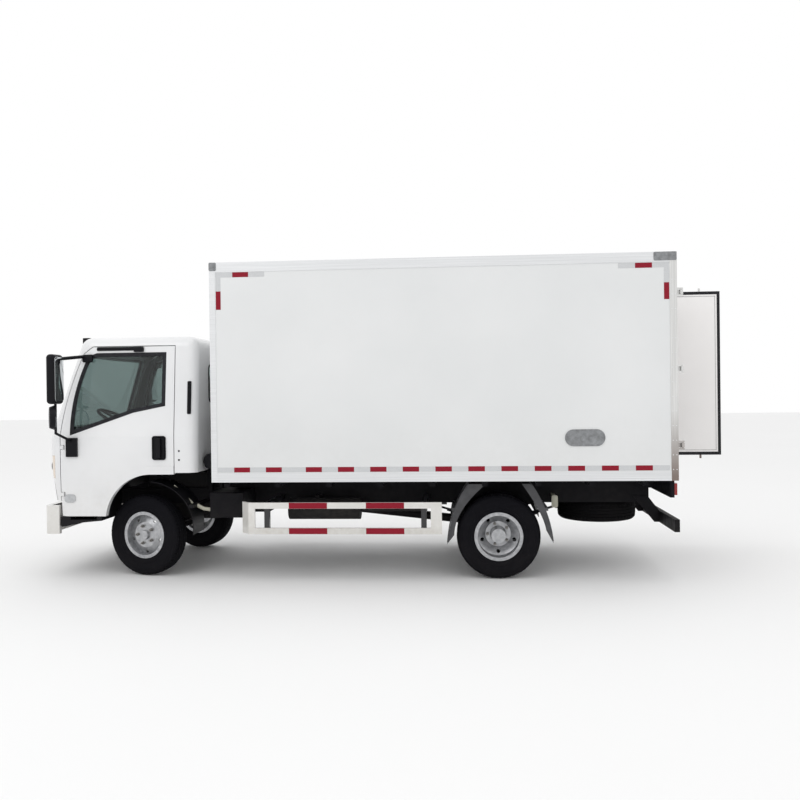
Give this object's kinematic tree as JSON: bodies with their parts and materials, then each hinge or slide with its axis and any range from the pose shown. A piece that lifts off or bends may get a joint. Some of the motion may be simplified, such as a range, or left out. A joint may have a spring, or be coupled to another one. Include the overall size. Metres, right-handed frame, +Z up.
{
  "type": "refrigerated box truck",
  "caption": "Light forward-control truck with a white insulated refrigerated box, a tilting cab, twin rear wheels and one rear door open.",
  "frame": {"origin": "on the ground under the middle of the truck's bounding box, the open rear door included", "axes": "+X to the truck's rear, +Y to the truck's right, +Z up"},
  "size_m": [6.9383, 2.58, 2.958],
  "materials": {
    "cab_white": "gloss",
    "box_white": "gloss",
    "chassis_black": "satin",
    "aluminium": "brushed",
    "stainless": "brushed",
    "tyre": "matt",
    "wheel_silver": "satin",
    "glass": "polished",
    "lamp_clear": "polished",
    "lamp_red": "polished",
    "black_plastic": "satin",
    "grey_plastic": "satin",
    "interior": "grained",
    "seat_cloth": "woven",
    "rubber": "matt",
    "cast_iron": "rough"
  },
  "bodies": {
    "chassis": {"chassis_frame": "chassis_black", "box_bearers": "chassis_black", "front_axle": "cast_iron", "rear_axle": "cast_iron", "leaf_springs": "chassis_black", "engine": "cast_iron", "propshaft": "chassis_black", "fuel_tank": "aluminium", "battery_box": "black_plastic", "silencer": "cast_iron", "spare_wheel": "tyre", "front_bumper": "cab_white", "side_guard_left": "box_white", "side_guard_right": "box_white", "rear_mudguards": "grey_plastic", "rear_underrun": "chassis_black", "lamp_bar": "chassis_black", "tail_lamps": "lamp_red", "cab_mounts": "chassis_black", "front_mudguards": "black_plastic", "air_cleaner": "black_plastic", "box_floor": "aluminium", "box_left_wall": "box_white", "box_right_wall": "box_white", "box_front_wall": "box_white", "box_roof": "box_white", "box_trim": "aluminium", "rear_frame": "stainless"},
    "cab": {"cab_shell": "cab_white", "front_panel": "cab_white", "cab_floor": "black_plastic", "cab_glass": "glass", "headlamps": "lamp_clear", "cab_steps": "black_plastic", "dashboard": "interior", "steering_wheel": "interior", "seats": "seat_cloth"},
    "cab_door_left": {"cab_door_left": "cab_white", "door_glass_left": "glass", "mirror_left": "black_plastic"},
    "cab_door_right": {"cab_door_right": "cab_white", "door_glass_right": "glass", "mirror_right": "black_plastic"},
    "rear_door_left": {"rear_door_left": "box_white", "rear_door_seal_left": "rubber", "rear_door_locks_left": "stainless"},
    "rear_door_right": {"rear_door_right": "box_white", "rear_door_seal_right": "rubber", "rear_door_locks_right": "stainless"},
    "knuckle_left": {"knuckle_left": "cast_iron"},
    "knuckle_right": {"knuckle_right": "cast_iron"},
    "front_wheel_left": {"front_tyre_left": "tyre", "front_rim_left": "wheel_silver"},
    "front_wheel_right": {"front_tyre_right": "tyre", "front_rim_right": "wheel_silver"},
    "rear_wheels_left": {"rear_tyres_left": "tyre", "rear_rims_left": "wheel_silver"},
    "rear_wheels_right": {"rear_tyres_right": "tyre", "rear_rims_right": "wheel_silver"}
  },
  "joints": [
    {"name": "cab_tilt", "type": "hinge", "parent": "chassis", "child": "cab", "pos_m": [-3.29425, 0, 0.777], "axis": [0, -1, 0], "range_deg": [0, 45]},
    {"name": "cab_door_left_hinge", "type": "hinge", "parent": "cab", "child": "cab_door_left", "pos_m": [-3.23325, -0.95, 1], "axis": [0, 0, -1], "range_deg": [0, 70]},
    {"name": "cab_door_right_hinge", "type": "hinge", "parent": "cab", "child": "cab_door_right", "pos_m": [-3.23325, 0.95, 1], "axis": [0, 0, 1], "range_deg": [0, 70]},
    {"name": "steer_left", "type": "hinge", "parent": "chassis", "child": "knuckle_left", "pos_m": [-2.45425, -0.665, 0.389], "axis": [0, 0, 1], "range_deg": [-17, 47]},
    {"name": "steer_right", "type": "hinge", "parent": "chassis", "child": "knuckle_right", "pos_m": [-2.45425, 0.665, 0.389], "axis": [0, 0, 1], "range_deg": [-17, 47]},
    {"name": "front_wheel_left_spin", "type": "hinge", "parent": "knuckle_left", "child": "front_wheel_left", "pos_m": [-2.47677, -0.74904, 0.389], "axis": [0.2588, 0.9659, 0], "continuous": true},
    {"name": "front_wheel_right_spin", "type": "hinge", "parent": "knuckle_right", "child": "front_wheel_right", "pos_m": [-2.43173, 0.74904, 0.389], "axis": [0.2588, 0.9659, 0], "continuous": true},
    {"name": "rear_wheels_left_spin", "type": "hinge", "parent": "chassis", "child": "rear_wheels_left", "pos_m": [0.90575, -0.712, 0.389], "axis": [0, 1, 0], "continuous": true},
    {"name": "rear_wheels_right_spin", "type": "hinge", "parent": "chassis", "child": "rear_wheels_right", "pos_m": [0.90575, 0.712, 0.389], "axis": [0, 1, 0], "continuous": true},
    {"name": "rear_door_left_hinge", "type": "hinge", "parent": "chassis", "child": "rear_door_left", "pos_m": [2.53675, -1.065, 1.917], "axis": [0, 0, -1], "range_deg": [0, 255]},
    {"name": "rear_door_right_hinge", "type": "hinge", "parent": "chassis", "child": "rear_door_right", "pos_m": [2.53675, 1.065, 1.917], "axis": [0, 0, 1], "range_deg": [-90, 165]}
  ],
  "couplings": [
    {"joint": "steer_right", "follows": "steer_left", "ratio": 1}
  ]
}
